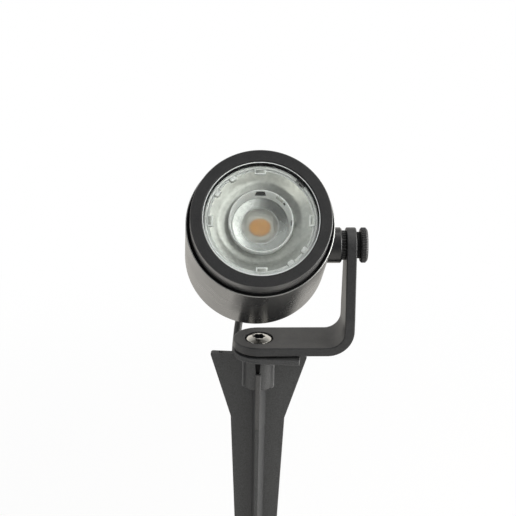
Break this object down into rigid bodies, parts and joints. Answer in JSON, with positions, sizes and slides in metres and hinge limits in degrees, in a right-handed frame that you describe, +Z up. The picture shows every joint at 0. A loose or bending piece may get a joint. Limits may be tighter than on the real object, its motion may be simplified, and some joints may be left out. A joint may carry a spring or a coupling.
{
  "type": "garden spike spotlight",
  "caption": "Round black spotlight head with a clear front lens, tilting on a side bracket that swivels on a tapered ground spike, with a coiled supply lead.",
  "frame": {"origin": "On the spike's axis at ground level, where the spike is pushed home and the lower part of its plate is bedded in the soil.", "axes": "+Z up along the spike, which is also the swivel axis; the lamp faces -Y, tilted up; the bracket's leg and the tilt pivot are on +X."},
  "size_m": [0.068, 0.1315, 0.2855],
  "materials": {
    "anodised_black": "satin black anodised, turned",
    "cast_black": "fine matt black powder coat",
    "spike_plastic": "moulded dark grey, fine grain",
    "front_glass": "clear toughened, bevelled edge",
    "black_rubber": "matt",
    "optic_frost": "frosted translucent",
    "optic_mirror": "satin metallised",
    "clear_lens": "clear moulded",
    "led_phosphor": "orange phosphor",
    "circuit_board": "white solder mask",
    "driver_green": "green solder mask",
    "plain_aluminium": "machined",
    "stainless": "bright pickled",
    "brass": "machined",
    "nickel_pins": "plated",
    "gland_nylon": "moulded nylon",
    "lead_jacket": "satin flexible jacket",
    "connector_plastic": "moulded",
    "white_pad": "soft silicone",
    "tie_band": "soft band",
    "white_wire": "silicone sleeve"
  },
  "bodies": {
    "spike": {"ground_spike": "spike_plastic", "swivel_washer": "black_rubber", "thread_insert": "brass"},
    "clamp_screw": {"clamp_screw": "stainless"},
    "bracket": {"bracket_strap": "cast_black", "supply_lead": "lead_jacket", "lead_coil": "lead_jacket", "lead_tie": "tie_band", "connector_sleeve": "black_rubber", "connector_body": "connector_plastic", "connector_seal": "black_rubber", "connector_pins": "nickel_pins", "connector_ring": "connector_plastic"},
    "knob": {"knob": "anodised_black", "knob_stud": "stainless", "knob_washer": "black_rubber"},
    "head": {"head_housing": "anodised_black", "bezel_ring": "anodised_black", "front_glass": "front_glass", "glass_gasket": "black_rubber", "housing_o_ring": "black_rubber", "optic_holder": "optic_frost", "outer_reflector": "optic_mirror", "lens_holder": "optic_frost", "inner_cone": "optic_mirror", "collimator_lens": "clear_lens", "led_emitter": "led_phosphor", "led_board": "circuit_board", "thermal_pad": "white_pad", "board_screws": "stainless", "heat_spreader": "plain_aluminium", "led_wires": "white_wire", "driver_board": "driver_green", "driver_parts": "gland_nylon", "driver_posts": "brass", "driver_screws": "stainless", "gland_body": "gland_nylon", "gland_nut": "gland_nylon", "gland_seal": "black_rubber", "gland_locknut": "gland_nylon", "pivot_boss": "anodised_black", "serrated_washer": "cast_black"}
  },
  "joints": [
    {"name": "bracket_swivel", "type": "hinge", "parent": "spike", "child": "bracket", "pos_m": [0, 0, 0.0052], "axis": [0, 0, 1], "range_deg": [-170, 170]},
    {"name": "head_tilt", "type": "hinge", "parent": "bracket", "child": "head", "pos_m": [0.03, 0, 0.0433], "axis": [-1, 0, 0], "range_deg": [-37, 53], "deforming": ["supply_lead"]},
    {"name": "knob_turn", "type": "hinge", "parent": "head", "child": "knob", "pos_m": [0.038, 0, 0.0433], "axis": [1, 0, 0], "range_deg": [0, 360]},
    {"name": "clamp_screw_turn", "type": "hinge", "parent": "spike", "child": "clamp_screw", "pos_m": [0, 0, 0.0052], "axis": [0, 0, 1], "range_deg": [0, 360]}
  ]
}
